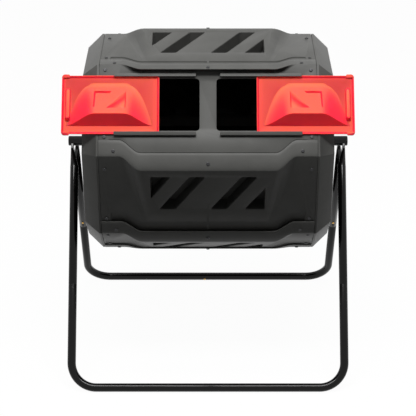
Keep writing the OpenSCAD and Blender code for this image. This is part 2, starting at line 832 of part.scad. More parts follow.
door_panel();
vent_panel_top();
vent_panel_front();
vent_panel_front_low();
vent_panel_bottom();
vent_panel_rear_low();
vent_panel_rear();
vent_panel_rear_high();
end_cover_left_upper();
end_cover_left_lower();
end_cover_right_upper();
end_cover_right_lower();
divider_panel();
hub_bush_left();
hub_bush_right();
strip_screws();
edge_screws();
sliding_door_left();
sliding_door_right();
axle_tube();
axle_end_cap_left();
axle_end_cap_right();
leg_bolts();
leg_nuts();
leg_spacers();
upper_leg_front_left();
upper_leg_front_right();
upper_leg_rear_left();
upper_leg_rear_right();
foot_tube_front_left();
foot_tube_front_right();
foot_tube_rear_left();
foot_tube_rear_right();
leg_joint_screws();
foot_bar_screws();
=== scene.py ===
"""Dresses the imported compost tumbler: moulded drum panels, sliding doors, end covers and a tubular stand."""

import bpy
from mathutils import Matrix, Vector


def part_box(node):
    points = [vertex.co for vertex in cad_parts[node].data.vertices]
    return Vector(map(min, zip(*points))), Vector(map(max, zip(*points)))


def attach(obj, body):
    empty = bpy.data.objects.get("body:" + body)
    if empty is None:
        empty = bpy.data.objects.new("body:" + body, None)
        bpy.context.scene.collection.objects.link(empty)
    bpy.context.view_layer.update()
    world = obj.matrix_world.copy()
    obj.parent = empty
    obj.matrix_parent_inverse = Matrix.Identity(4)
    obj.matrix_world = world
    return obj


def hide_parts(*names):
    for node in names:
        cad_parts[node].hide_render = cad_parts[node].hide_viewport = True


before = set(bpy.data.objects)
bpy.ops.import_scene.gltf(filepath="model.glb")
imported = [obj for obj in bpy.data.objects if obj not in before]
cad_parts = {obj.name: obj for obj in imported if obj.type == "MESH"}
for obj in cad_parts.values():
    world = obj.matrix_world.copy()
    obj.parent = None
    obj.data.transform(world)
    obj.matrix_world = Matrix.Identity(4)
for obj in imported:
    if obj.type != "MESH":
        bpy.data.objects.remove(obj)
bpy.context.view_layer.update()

import math

import bpy
from bpy.props import FloatProperty, PointerProperty, StringProperty
from mathutils import Matrix, Vector

bl_info = {
    "name": "Compost tumbler dresser",
    "version": (1, 0, 0),
    "blender": (4, 5, 0),
    "location": "View3D > Sidebar > Tumbler",
    "description": "Builds the visible pieces, finishes and studio of a dual-chamber compost tumbler",
    "category": "Object",
}


def size(name, description, default):
    return FloatProperty(name=name, description=description, default=default, unit="LENGTH")


def angle(name, description, degrees):
    return FloatProperty(name=name, description=description, default=math.radians(degrees), subtype="ANGLE")


def colour(name, description, default):
    return StringProperty(name=name, description=description, default=default)


class DrumSizes(bpy.types.PropertyGroup):
    """Sizes of the octagonal drum's panels"""

    length: size("Drum length", "Length of the body panels along the axle", 0.5455)
    door_face: size("Door face", "Width of the door face and of the face opposite it", 0.240)
    across_door: size("Across doors", "Distance between those two faces' corners", 0.557)
    side_face: size("Side face", "Width of the two faces square to the door face", 0.163)
    across_side: size("Across sides", "Distance between those two faces", 0.543)
    lean: angle("Door lean", "Lean of the door face back from upright", 36)
    swirl: angle("Swirl", "Tilt of the raised middle of each vent panel", 6.7)
    crest_half: size("Raised middle", "Half length of the raised middle", 0.168)
    foot_half: size("Raised middle's foot", "Half length at which the raised middle has run out", 0.222)
    wall: size("Wall", "Wall of the moulded panels", 0.003)
    strip_w: size("Joint strip", "Width of the rolled joint strip", 0.041)
    lip_strip_w: size("Lip strip", "Width of the strip that rolls into the door's lip", 0.038)
    lip_strip_in: size("Lip strip, middle", "Width of that strip in the middle", 0.031)
    lip_strip_lift: size("Lip strip lift", "Height of that strip over the panel before", 0.0005)
    top_strip_lift: size("Top strip lift", "Height of the top joint's strip over the panel before", 0.0075)
    top_strip_bulge: size("Top strip bulge", "Extra height of the middle of the top joint's strip", 0.0035)
    strip_roll: FloatProperty(name="Strip roll", description="Share of the bend that the strip rolls", default=0.55)
    strip_lift: size("Strip lift", "Height of the other strips over the panel before", 0.0035)
    strip_past: size("Strip reach", "Reach of the strip's middle past the bend", 0.0046)
    land_w: size("Land", "Width of the sunk land ahead of each joint strip", 0.030)
    top_land_w: size("Top land", "Width of the sunk land on the top panel", 0.022)
    land_drop: size("Land depth", "Depth of the sunk land", 0.0035)
    land_half: size("Land reach", "Half length of the sunk land", 0.248)
    flank_low: size("Flank foot", "Outer line of the raised middle's flank at the tail", 0.163)
    flank_low_in: size("Flank foot, inside", "Inner line of the flank at the tail", 0.146)
    soft_edge: size("Soft edge", "Radius of the moulded edges", 0.0011)


class VentSizes(bpy.types.PropertyGroup):
    """Sizes of the slanted vents in the drum's panels"""

    top: size("Vent top", "Top of the vent field from the leading edge", 0.028)
    top_high: size("Vent top, top panel", "The same on the top panel, whose joint stands higher", 0.021)
    height: size("Vent height", "Height of the vent field", 0.116)
    width: size("Vent width", "Width of each slanted vent", 0.040)
    pitch: size("Vent pitch", "Distance between the two slanted vents", 0.130)
    half: size("Vent field", "Half length of the vent field", 0.144)
    corner_cut: size("Corner vent", "Width of the triangular vents", 0.050)
    depth: size("Vent depth", "Depth of the vent cups", 0.034)
    round: size("Vent corners", "Corner radius of the vents", 0.0045)
    rim: size("Vent rim", "Rounding of the vents' rims", 0.0026)
    air_d: size("Air hole", "Diameter of the air holes in the cups", 0.006)


class DoorSizes(bpy.types.PropertyGroup):
    """Sizes of the door track and the two sliding doors"""

    lip_reach: size("Lip reach", "Reach of the lip over the door track", 0.027)
    lip_drop: size("Lip drop", "Distance from the lip's root to the track", 0.017)
    rail_top: size("Rail top", "Upper rail, down from the lip's root", 0.0245)
    rail_w: size("Rail width", "Width of each rail", 0.0095)
    rail_span: size("Rail span", "Distance between the rails' outer edges", 0.1625)
    rail_in: size("Rail start", "Inner end of each rail", 0.030)
    rail_out: size("Rail end", "Outer end of each rail", 0.235)
    rail_t: size("Rail lip", "Thickness of the rail's lip", 0.0022)
    rail_tilt: size("Rail tilt", "Rise of the rail's top towards the door", 0.0018)
    rail_foot: size("Rail foot", "Thickness of the rail's foot", 0.003)
    post_w: size("Post", "Width of the post between the hatches", 0.042)
    hatch_out: size("Hatch edge", "Outer edge of each hatch", 0.222)
    hatch_h: size("Hatch height", "Height of each hatch", 0.136)
    hatch_r: size("Hatch corner", "Corner radius of each hatch", 0.009)
    width: size("Door width", "Width of each sliding door", 0.244)
    near: size("Door opening", "Distance from the middle to the half-open door", 0.122)
    sheet: size("Door sheet", "Thickness of the door at its rim", 0.0045)
    gap: size("Door gap", "Gap between door and panel", 0.0008)
    tray_top: size("Tray top", "Top edge of the door below its guide line", 0.0028)
    dish: size("Dish", "Depth of the tray's floor below its rim", 0.0036)
    scoop_h: size("Scoop height", "Height of the raised scoop", 0.025)
    ear_w: size("Ear width", "Width of the stop ears", 0.0195)
    ear_out: size("Ear reach", "Reach of the stop ears past the door", 0.0032)


class Finishes(bpy.types.PropertyGroup):
    """Colours of the moulded plastics, paint and plating, as sRGB hex"""

    drum: colour("Drum plastic", "Black polypropylene of the drum", "#4C4C4A")
    door: colour("Door plastic", "Red polypropylene of the doors", "#F60E40")
    paint: colour("Stand paint", "Black enamel on the tubes", "#040404")
    cap: colour("Cap plastic", "Black polyethylene of the end caps", "#0A0A0A")
    zinc: colour("Zinc plating", "Plated bolts, nuts and spacers", "#B9BCBE")
    yellow_zinc: colour("Yellow zinc", "Self-tapping screws in the tubes", "#C9A15C")
    floor: colour("Floor", "Paper sweep of the studio", "#F4F4F2")


def hex_to_linear(text):
    """sRGB hex as a linear RGBA tuple"""
    channels = [int(text[i:i + 2], 16) / 255 for i in (1, 3, 5)]
    return tuple(c / 12.92 if c <= 0.04045 else ((c + 0.055) / 1.055) ** 2.4 for c in channels) + (1.0,)


# ---- Modelling helpers ----


def start_clean():
    """Object mode with nothing selected"""
    if bpy.context.mode != "OBJECT":
        leave_edit()
    bpy.ops.object.select_all(action="DESELECT")


def pick(*pieces):
    """Selects these pieces alone, the first of them active"""
    start_clean()
    for piece in pieces:
        piece.select_set(True)
    bpy.context.view_layer.objects.active = pieces[0]


def edit_all(piece):
    """Goes into edit mode with the whole piece selected"""
    pick(piece)
    bpy.ops.object.mode_set(mode="EDIT")
    bpy.ops.mesh.select_all(action="SELECT")


def leave_edit():
    bpy.ops.object.mode_set(mode="OBJECT")


def face_outward():
    """Turns all faces of the piece in edit mode outward, and leaves edit mode"""
    bpy.ops.mesh.select_all(action="SELECT")
    bpy.ops.mesh.normals_make_consistent(inside=False)
    leave_edit()


def push_out(height):
    """Extrudes the selected faces by height along Z"""
    bpy.ops.mesh.extrude_region_move(TRANSFORM_OT_translate={"value": (0, 0, height)})


def select_where(piece, test, kind="FACE"):
    """Goes into edit mode with the faces or edges selected that the test accepts"""
    pick(piece)
    bpy.ops.object.mode_set(mode="EDIT")
    bpy.ops.mesh.select_mode(type=kind)
    bpy.ops.mesh.select_all(action="DESELECT")
    leave_edit()
    mesh = piece.data
    for part in mesh.polygons if kind == "FACE" else mesh.edges:
        part.select = test(mesh, part)
    bpy.ops.object.mode_set(mode="EDIT")


def edge_ends(mesh, part):
    return [mesh.vertices[i].co for i in part.vertices]


def upright(mesh, part):
    a, b = edge_ends(mesh, part)
    return abs(a.z - b.z) > 0.6 * (a - b).length


def add_grid(name, columns, rows, place):
    """A grid whose vertex in column i and row j is put at place(i, j)"""
    start_clean()
    bpy.ops.mesh.primitive_grid_add(x_subdivisions=columns - 1, y_subdivisions=rows - 1, size=1)
    piece = bpy.context.active_object
    piece.name = name
    for vertex in piece.data.vertices:
        i = round((vertex.co.x + 0.5) * (columns - 1))
        j = round((0.5 - vertex.co.y) * (rows - 1))
        vertex.co = place(i, j)
    return piece


def turn_of(points):
    """Twice the area of an outline, positive where it runs against the clock"""
    return sum(a[0] * b[1] - b[0] * a[1] for a, b in zip(points, points[1:] + points[:1]))


def add_outline(name, outline, z=0.0):
    """A flat face with the given corners"""
    start_clean()
    bpy.ops.mesh.primitive_circle_add(vertices=len(outline), radius=0.01, fill_type="NGON")
    piece = bpy.context.active_object
    piece.name = name
    same_turn = (turn_of([v.co for v in piece.data.vertices]) > 0) == (turn_of(outline) > 0)
    for vertex, corner in zip(piece.data.vertices, outline if same_turn else outline[::-1]):
        vertex.co = (corner[0], corner[1], z)
    return piece


def rectangle(x0, y0, x1, y1):
    return [(x0, y0), (x1, y0), (x1, y1), (x0, y1)]


def raise_solid(piece, height):
    """Extrudes the whole flat face by height along Z, and closes it"""
    edit_all(piece)
    push_out(height)
    face_outward()
    return piece


def bevel_edges(piece, test, width, segments=3):
    """Rounds the edges that the test accepts"""
    select_where(piece, test, "EDGE")
    bpy.ops.mesh.bevel(offset=width, offset_type="OFFSET", segments=segments, profile=0.5, affect="EDGES")
    leave_edit()
    return piece


def bevel_sharp(piece, test, width, degrees=50):
    """Rounds the sharp edges that the test accepts"""
    select_where(piece, lambda mesh, part: False, "EDGE")
    bpy.ops.mesh.edges_select_sharp(sharpness=math.radians(degrees))
    leave_edit()
    mesh = piece.data
    chosen = {part.index for part in mesh.edges if part.select and test(mesh, part)}
    return bevel_edges(piece, lambda mesh, part: part.index in chosen, width)


def apply_modifier(piece, kind, **settings):
    """Adds one modifier, sets it and applies it"""
    modifier = piece.modifiers.new(kind.title(), kind)
    for key, value in settings.items():
        setattr(modifier, key, value)
    pick(piece)
    bpy.ops.object.modifier_apply(modifier=modifier.name)
    return piece


def cut(piece, cutter):
    """Cuts a piece with a cutter, which is used up"""
    apply_modifier(piece, "BOOLEAN", object=cutter, operation="DIFFERENCE", solver="EXACT")
    bpy.data.objects.remove(cutter)


def duplicate(piece, name, matrix):
    """A copy with its own mesh, moved by the matrix"""
    pick(piece)
    bpy.ops.object.duplicate(linked=False)
    copy = bpy.context.active_object
    copy.name = name
    copy.data.transform(matrix)
    if matrix.determinant() < 0:
        copy.data.flip_normals()
    return copy


def merge(name, pieces):
    """Joins pieces into the first of them"""
    pick(*pieces)
    bpy.ops.object.join()
    piece = bpy.context.active_object
    piece.name = name
    return piece


def tidy_mesh(piece, flat):
    """Merges doubles and dissolves the lines inside flat faces"""
    edit_all(piece)
    bpy.ops.mesh.remove_doubles(threshold=0.00002)
    bpy.ops.mesh.dissolve_limited(angle_limit=math.radians(flat))
    leave_edit()
    return piece


def smooth(piece, degrees):
    """Smooths the shading across edges that are less sharp than the angle"""
    pick(piece)
    bpy.ops.object.shade_smooth_by_angle(angle=math.radians(degrees))
    return piece


def soften(piece, width, degrees=28, segments=2, smooth_below=35):
    """Rounds every edge sharper than the angle and smooths the shading"""
    apply_modifier(
        piece, "BEVEL", width=width, segments=segments, limit_method="ANGLE",
        angle_limit=math.radians(degrees), use_clamp_overlap=True, harden_normals=False,
    )
    return smooth(piece, smooth_below)


def copy_node(node, name):
    """A merged copy of a CAD node, ready to be worked on"""
    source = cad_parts[node]
    start_clean()
    copy = source.copy()
    copy.data = source.data.copy()
    copy.parent = None
    for key in list(copy.keys()):
        if key.startswith("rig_"):
            del copy[key]
    copy.name = name
    copy.data.materials.clear()
    bpy.context.scene.collection.objects.link(copy)
    return tidy_mesh(copy, 1.0)


def settle(piece, material, body, nodes=()):
    """Gives a finished piece its material, its body and the CAD nodes that it stands for"""
    piece.data.materials.clear()
    piece.data.materials.append(material)
    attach(piece, body)
    if nodes:
        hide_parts(*nodes)


def ease_nodes(nodes, ending, finish, body, slot, *rounding):
    """Stands a copy of each CAD node in for it, with rounded edges and its finish"""
    for node in nodes:
        settle(soften(copy_node(node, node + ending), *rounding), finish_of(finish), body, [node])


# ---- Materials ----


def add_node(tree, kind, settings=None, **links):
    """Adds a node, sets its sockets and properties, and links the sockets named in links"""
    node = tree.nodes.new(kind)
    for key, value in (settings or {}).items():
        if isinstance(key, int) or key in node.inputs:
            node.inputs[key].default_value = value
        else:
            setattr(node, key, value)
    for key, source in links.items():
        numbered = key[0] == "i" and key[1:].isdigit()
        tree.links.new(source, node.inputs[int(key[1:]) if numbered else key.replace("_", " ")])
    return node


def new_material(name):
    material = bpy.data.materials.new(name)
    material.use_nodes = True
    material.node_tree.nodes.clear()
    return material, material.node_tree


def grain(tree, millimetres, detail):
    """Noise whose features are about the given size"""
    place = add_node(tree, "ShaderNodeTexCoord")
    noise = add_node(
        tree, "ShaderNodeTexNoise", {"Scale": 1000.0 / millimetres, "Detail": detail, "Roughness": 0.55},
        Vector=place.outputs["Object"],
    )
    return noise.outputs["Fac"]


def shade_range(tree, source, dark, light):
    """Turns a noise value into a colour between two tones"""
    ramp = add_node(tree, "ShaderNodeValToRGB", None, Fac=source)
    for element, position, tone in zip(ramp.color_ramp.elements, (0.35, 0.65), (dark, light)):
        element.position = position
        element.color = tone
    return ramp.outputs["Color"]


def scaled(tone, factor):
    return tuple(min(c * factor, 1.0) for c in tone[:3]) + (1.0,)


def tones(text, low, high):
    """A hex colour, a little darker and a little lighter"""
    return [scaled(hex_to_linear(text), factor) for factor in (low, high)]


def finishes():
    return bpy.context.scene.tumbler_finishes


def grained_material(name, dark_and_light, cloud, rough, settings, spark=None, relief=None):
    """Shader whose tone follows one grain, and its roughness and relief a finer one. A grain is given as its
    size in millimetres and its detail, and a relief as its strength and its depth in metres."""
    material, tree = new_material(name)
    broad = grain(tree, *cloud)
    fine = grain(tree, *spark) if spark else broad
    spread = add_node(tree, "ShaderNodeMapRange", {"To Min": rough[0], "To Max": rough[1]}, Value=fine)
    links = {"Base_Color": shade_range(tree, broad, *dark_and_light), "Roughness": spread.outputs["Result"]}
    if relief:
        bump = add_node(tree, "ShaderNodeBump", {"Strength": relief[0], "Distance": relief[1]}, Height=fine)
        links["Normal"] = bump.outputs["Normal"]
    shader = add_node(tree, "ShaderNodeBsdfPrincipled", settings, **links)
    add_node(tree, "ShaderNodeOutputMaterial", None, Surface=shader.outputs["BSDF"])
    return material


def drum_polypropylene():
    """Injection-moulded black polypropylene with a spark-eroded texture: a dull, slightly silky
    grey-black that lifts towards the light and hides all small reflections."""
    # The eroded texture is 0.2 mm wide; it is drawn at 1.6 mm so that it can show
    return grained_material(
        "black_polypropylene_spark_eroded", tones(finishes().drum, 0.93, 1.06), (60, 2.0), (0.38, 0.48),
        {"IOR": 1.49, "Specular IOR Level": 0.15}, spark=(1.6, 2.0), relief=(0.12, 0.0003),
    )


def door_polypropylene():
    """Injection-moulded red polypropylene, satin: saturated body colour with broad soft highlights
    that turn orange on the raised parts."""
    settings = {
        "IOR": 1.52, "Specular IOR Level": 0.85, "Specular Tint": hex_to_linear("#FFB45A"),
        "Subsurface Weight": 0.5, "Subsurface Radius": (1.0, 0.06, 0.16), "Subsurface Scale": 0.014,
    }
    return grained_material(
        "red_polypropylene_satin", tones(finishes().door, 0.97, 1.03), (45, 1.0), (0.40, 0.48),
        settings, spark=(1.4, 2.0), relief=(0.06, 0.0002),
    )


def tube_enamel():
    """Black stoving enamel over drawn steel tube: near black with one long sharp highlight and a
    roughness that varies a little."""
    return grained_material(
        "black_enamel_on_steel_tube", tones(finishes().paint, 0.85, 1.2), (12.0, 1.0), (0.13, 0.17),
        {"IOR": 1.5, "Specular IOR Level": 0.2},
    )


def cap_polyethylene():
    """Moulded black polyethylene: waxy and a little softer in its shine than the enamel."""
    return grained_material(
        "black_polyethylene_moulded", tones(finishes().cap, 0.9, 1.1), (2.0, 2.0), (0.15, 0.20),
        {"IOR": 1.51, "Specular IOR Level": 0.3},
    )


def plated_metal(name, text, rough):
    """Plated steel: a metal whose fine plating grain breaks up its reflections."""
    return grained_material(name, tones(text, 0.85, 1.08), (1.2, 3.0), rough, {"Metallic": 1.0})


def screw_black():
    """Black-oxide steel of the panel screws: dark, with a dull metallic glint on its edges."""
    oxide = hex_to_linear("#2A2A2B"), hex_to_linear("#3C3C3E")
    return grained_material("black_oxide_steel_screw", oxide, (0.8, 2.0), (0.32, 0.45), {"Metallic": 0.6})


MAKERS = {
    "drum": drum_polypropylene,
    "door": door_polypropylene,
    "tube": tube_enamel,
    "cap": cap_polyethylene,
    "zinc": lambda: plated_metal("zinc_plated_steel", finishes().zinc, (0.28, 0.42)),
    "yellow_zinc": lambda: plated_metal("yellow_zinc_plated_steel", finishes().yellow_zinc, (0.25, 0.38)),
    "screw": screw_black,
}
MATERIALS = {}


def finish_of(name):
    """Makes each material once"""
    if name not in MATERIALS:
        MATERIALS[name] = MAKERS[name]()
    return MATERIALS[name]


# ---- Drum section, as points (y, z) about the axle ----
# Face k runs from corner k down to corner k + 1; s is 0 at the ends of the drum and 1 on its raised middle

FACES = 8
DOOR, TOP = 0, 7
AXLE = (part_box("axle_tube")[0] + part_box("axle_tube")[1]) / 2


def drum():
    return bpy.context.scene.tumbler_drum


def doors():
    return bpy.context.scene.tumbler_doors


def vents():
    return bpy.context.scene.tumbler_vents


def lerp(a, b, t):
    return a + (b - a) * t


def ease(t):
    t = min(max(t, 0.0), 1.0)
    return t * t * (3 - 2 * t)


def turned(v, a):
    return Vector((v.x * math.cos(a) - v.y * math.sin(a), v.x * math.sin(a) + v.y * math.cos(a)))


def outward(d):
    return Vector((d.y, -d.x))


def cross(a, b):
    return a.x * b.y - a.y * b.x


def meet(p, d, q, e):
    """Point where the line through p along d meets the line through q along e"""
    return p + d * (cross(q - p, e) / cross(d, e))


def in_world(x, point):
    return Vector((x, AXLE.y + point.x, AXLE.z + point.y))


def corner(k):
    """Corner of the plain octagon"""
    d = drum()
    a, b, c, e = d.across_door / 2, d.door_face / 2, d.side_face / 2, d.across_side / 2
    upright_corners = [(-a, b), (-a, -b), (-c, -e), (c, -e), (a, -b), (a, b), (c, e), (-c, e)]
    return turned(Vector(upright_corners[k % FACES]), -d.lean)


def base_dir(k):
    """Direction of the plain face"""
    return (corner(k + 1) - corner(k)).normalized()


def face_dir(k, s):
    """Direction of the face with its swirl, which the door face lacks"""
    return turned(base_dir(k), 0 if k % FACES == DOOR else drum().swirl * s)


def edge(k, s):
    """Where faces k - 1 and k meet"""
    return meet(corner(k), face_dir(k - 1, s), corner(k + 1), face_dir(k, s))


def lead(k, s):
    """Leading edge of face k: the meeting line, or the lip that reaches past it over the door track"""
    if k % FACES == DOOR:
        return corner(k) + face_dir(k - 1, s) * (doors().lip_reach * s)
    return edge(k, s)


def lead_dir(k, s):
    return turned(base_dir(k), drum().swirl * s) if k % FACES == DOOR else face_dir(k, s)


def strip_width(k, s):
    d = drum()
    return lerp(d.lip_strip_w, d.lip_strip_in, s) if k % FACES == DOOR else d.strip_w


def strip_curve(k, s):
    """Start, control point and end of the rolled strip ahead of face k"""
    d = drum()
    before, after = face_dir(k - 1, s), lead_dir(k, s)
    bend = before.angle(after)
    lift, bulge, past = d.strip_lift, 0.0, d.strip_past * s
    if k % FACES == DOOR:
        lift, past = d.lip_strip_lift, 0.0
    elif k == TOP:
        lift, bulge = d.top_strip_lift, d.top_strip_bulge * s
    start = lead(k, s) - before * strip_width(k, s) + outward(before) * (lift + bulge)
    end = lead(k, s) + after * past + outward(turned(before, bend / 2)) * bulge
    control = meet(start, before, end, turned(before, bend * d.strip_roll))
    return start, control, end


def strip_point(k, s, t):
    start, control, end = strip_curve(k, s)
    return start * (1 - t) ** 2 + control * (2 * t * (1 - t)) + end * t ** 2


def surface_frame(x, point, direction):
    """Frame on a point of the section: X along the axle, Y up the surface, Z outward"""
    normal, place = outward(direction), in_world(x, point)
    return Matrix((
        (1, 0, 0, place.x),
        (0, -direction.x, normal.x, place.y),
        (0, -direction.y, normal.y, place.z),
        (0, 0, 0, 1),
    ))


def face_matrix(k, s, x=0.0, down=0.0, out=0.0):
    """Frame on face k, the given way down from its leading edge and out from its surface"""
    direction = face_dir(k, s)
    return surface_frame(x, edge(k, s) + direction * down + outward(direction) * out, direction)


def strip_matrix(k, s, x):
    """Frame on the middle of the joint strip ahead of face k"""
    start, _, end = strip_curve(k, s)
    return surface_frame(x, strip_point(k, s, 0.5), (end - start).normalized())


# ---- Moulded panels ----

# Places across a flank and across a bend, as shares of its width, and down the face
FLANK = [0, 0.08, 0.2, 0.34, 0.46, 0.58, 0.72, 0.86, 1.0]
BEND = [0, 0.12, 0.25, 0.38, 0.5, 0.62, 0.75, 0.88, 1.0]
FACE_ROWS = (0.12, 0.35, 0.6, 0.85, 1.0)
STRIP_ROWS = 8
# The flank's crease: its place across the flank, its height there, the slope up to it and the round past it
CREASE_AT, CREASE_HIGH, CREASE_SLOPE, CREASE_ROUND = 0.46, 0.285, 0.62, 1.7
CREASE_FULL = 0.35  # share of the way down at which the crease is fully formed
# Half lengths between which the outline bends inward: at the leading edge, and at the door panel's tail
LEAD_BEND, DOOR_BEND, DOOR_FLANK = (0.243, 0.2235), (0.246, 0.1985), 0.197
DOOR_LAND, SHORT_LAND, DOOR_LAND_DROP = 0.003, 0.008, 0.0009
LAND_STEP = 0.0004  # run of the step down to the land
LAND_END = 0.0006  # half the run of the step at each end of the land
LAND_UNDER = 0.005  # reach of the land under the next strip
WELD = 0.00001


def flank_rise(u, down):
    """Height share across the flank: a soft S at the leading edge that gains a crease further down"""
    past = max(1 - u, 0) / (1 - CREASE_AT)
    crease = CREASE_SLOPE * u if u < CREASE_AT else CREASE_HIGH + (1 - CREASE_HIGH) * (1 - past ** CREASE_ROUND)
    mix = min(down / CREASE_FULL, 1.0)
    return ease(u) * (1 - mix) + crease * mix


class PanelSurface:
    """Outer surface of panel k as a grid of columns along the axle and rows round the section"""

    def __init__(self, k):
        d = drum()
        self.k = k
        self.is_door = k % FACES == DOOR
        short = (corner(k + 1) - corner(k)).length < d.door_face * 0.8
        self.land = DOOR_LAND if self.is_door else SHORT_LAND if short else d.top_land_w if k == TOP else d.land_w
        self.drop = DOOR_LAND_DROP if self.is_door else d.land_drop
        side = [(x, None, None) for x in (d.length / 2, d.land_half + LAND_END, d.land_half - LAND_END)]
        side += [(None, "bend", u) for u in BEND] + [(None, "flank", u) for u in FLANK]
        self.columns = [(-1,) + c for c in side] + [(1,) + c for c in reversed(side)]
        self.rows = [("strip", i / (STRIP_ROWS - 1)) for i in range(STRIP_ROWS)]
        if self.is_door:
            self.rows += [("lip", 1.0)]
        self.rows += [("face", t) for t in FACE_ROWS] + [("land", 0.0), ("land", 1.0)]

    def swirl_at(self, x):
        d = drum()
        return ease((d.foot_half - abs(x)) / (d.foot_half - d.crest_half))

    def column_x(self, column, down):
        """Place of a column along the axle, and its share u of the flank"""
        d = drum()
        side, x, kind, u = column
        if x is not None:
            return side * x, 0.0
        if kind == "bend":
            foot = lerp(*DOOR_BEND, u) if self.is_door else lerp(d.foot_half, d.crest_half, u)
            return side * lerp(lerp(*LEAD_BEND, u), foot, down), 0.0
        if self.is_door:
            return side * lerp(d.foot_half if down <= 0 else DOOR_FLANK, d.crest_half, u), u
        return side * lerp(lerp(d.foot_half, d.crest_half, u), lerp(d.flank_low, d.flank_low_in, u), down), u

    def place(self, i, j):
        d = drum()
        kind, t = self.rows[j]
        column = self.columns[i]
        if kind == "strip":
            x, _ = self.column_x(column, 0)
            return in_world(x, strip_point(self.k, self.swirl_at(x), t))
        if kind == "lip":
            x, _ = self.column_x(column, 1)
            return in_world(x, corner(self.k) + base_dir(self.k) * doors().lip_drop)
        x, u = self.column_x(column, t if kind == "face" else 1.0)
        far, base = corner(self.k + 1), base_dir(self.k)
        tail = self.tail_back(self.swirl_at(self.column_x(column, 1)[0]))
        height = 0.0
        if kind == "face":
            back = lerp(self.start_back(self.swirl_at(self.column_x(column, 0)[0])), tail + self.land, t)
            if column[2] == "flank" and not self.is_door:
                rise = (strip_point(self.k, 1, 1) - far).dot(outward(base))
                height = rise * (1 - t) * flank_rise(u, t)
        elif abs(x) < d.land_half:
            back = lerp(tail + self.land - LAND_STEP, tail - LAND_UNDER, t)
            height = -self.drop
        else:
            back = lerp(tail + self.land - LAND_STEP, tail + LAND_STEP, t)
        return in_world(x, far - base * back + outward(base) * height)

    def start_back(self, s):
        """Distance from the face's far corner back to where the face starts"""
        far, base = corner(self.k + 1), base_dir(self.k)
        if self.is_door:
            return (far - corner(self.k)).length - doors().lip_drop
        return (far - strip_point(self.k, s, 1)).dot(base)

    def tail_back(self, s):
        """Distance from the face's far corner back to the next panel's strip"""
        return strip_width(self.k + 1, s) - (lead(self.k + 1, s) - corner(self.k + 1)).length

    def field_matrix(self, down):
        """Frame on the raised middle, the given way down from its leading edge"""
        far, base = corner(self.k + 1), base_dir(self.k)
        start = strip_point(self.k, 1, 1)
        direction = (far - base * (self.tail_back(1) + self.land) - start).normalized()
        return surface_frame(0, start + direction * (down - drum().strip_past), direction)


VENT_SLANT = 0.652  # sideways run of a slanted vent for each unit of its height
CUTTER_REACH = 0.010
CUP_LAP = 0.8  # share of the skin's wall that the cup laps
CUP_DRAFT, CUP_WALL = 0.96, 0.002  # size of the cup's floor against its mouth, and the cup's wall
AIR_SHARES = (0.2, 0.5, 0.8)
AIR_SIDES, AIR_DEPTH = 14, 0.0024
NEAR_RIM, NEAR_FIELD = 0.0008, 0.002


def vent_outlines():
    """Outlines of the vents on their face: X along the axle, Y up the face from the field's top"""
    v = vents()
    slant = v.height * VENT_SLANT
    left = (slant - v.width - v.pitch) / 2
    bar = [(left, 0), (left + v.width, 0), (left + v.width - slant, -v.height), (left - slant, -v.height)]
    small = [(-v.half, 0), (-v.half + v.corner_cut, 0), (-v.half, -v.corner_cut / VENT_SLANT)]
    return [small, bar] + [[(-x, -v.height - y) for x, y in shape] for shape in (bar, small)]


def moulded_panel(k, name):
    """One drum panel as a skin with its wall, without its vents"""
    surface = PanelSurface(k)
    panel = add_grid(name, len(surface.columns), len(surface.rows), surface.place)
    edit_all(panel)
    bpy.ops.mesh.remove_doubles(threshold=WELD)
    leave_edit()
    centre = in_world(0, Vector((0, 0)))
    if sum((p.center - centre).dot(p.normal) for p in panel.data.polygons) < 0:
        panel.data.flip_normals()
    return apply_modifier(
        panel, "SOLIDIFY", thickness=drum().wall, offset=-1.0, use_even_offset=True, use_quality_normals=True,
    )


def vent_cutter(outline, matrix):
    """Prism that opens one vent in the skin"""
    prism = raise_solid(add_outline("vent_cutter", outline, -CUTTER_REACH), 2 * CUTTER_REACH)
    bevel_edges(prism, upright, vents().round, 4)
    prism.data.transform(matrix)
    return prism


def vent_cup(outline):
    """Deep cup behind one vent, with draft on its walls, a rounded floor and air holes"""
    v, mouth = vents(), -drum().wall * CUP_LAP
    cup = add_outline("vent_cup", outline, mouth)
    edit_all(cup)
    push_out(-v.depth - mouth)
    bpy.ops.transform.resize(value=(CUP_DRAFT, CUP_DRAFT, 1))
    leave_edit()
    select_where(cup, lambda mesh, face: abs(face.normal.z) > 0.9 and face.center.z > -v.depth / 2)
    bpy.ops.mesh.delete(type="FACE")
    face_outward()
    bevel_edges(cup, upright, v.round, 4)
    cup.data.flip_normals()
    if sum(face.normal.z for face in cup.data.polygons if face.center.z < -v.depth * 0.99) < 0:
        cup.data.flip_normals()
    apply_modifier(cup, "SOLIDIFY", thickness=CUP_WALL, offset=-1.0, use_even_offset=True)
    for x, y in air_places(outline):
        start_clean()
        bpy.ops.mesh.primitive_cylinder_add(
            vertices=AIR_SIDES, radius=v.air_d / 2, depth=AIR_DEPTH, location=(x, y, -v.depth)
        )
        cut(cup, bpy.context.active_object)
    return cup


def round_vents(panel, field):
    """Rounds the rims of the vents on the outer skin"""
    v = vents()
    into_field = field.inverted()

    def on_rim(mesh, part):
        points = [into_field @ point for point in edge_ends(mesh, part)]
        return all(
            abs(p.z) < NEAR_RIM and abs(p.x) < v.half + NEAR_FIELD and -v.height - NEAR_FIELD < p.y < NEAR_FIELD
            for p in points
        )

    bevel_sharp(panel, on_rim, v.rim)


def air_places(outline):
    """The middle of a corner vent, or three places down the middle of a slanted one"""
    if len(outline) == 3:
        return [tuple(sum(values) / 3 for values in zip(*outline))]
    top, low = [Vector(a).lerp(Vector(b), 0.5) for a, b in (outline[:2], outline[2:])]
    return [tuple(top.lerp(low, t)) for t in AIR_SHARES]


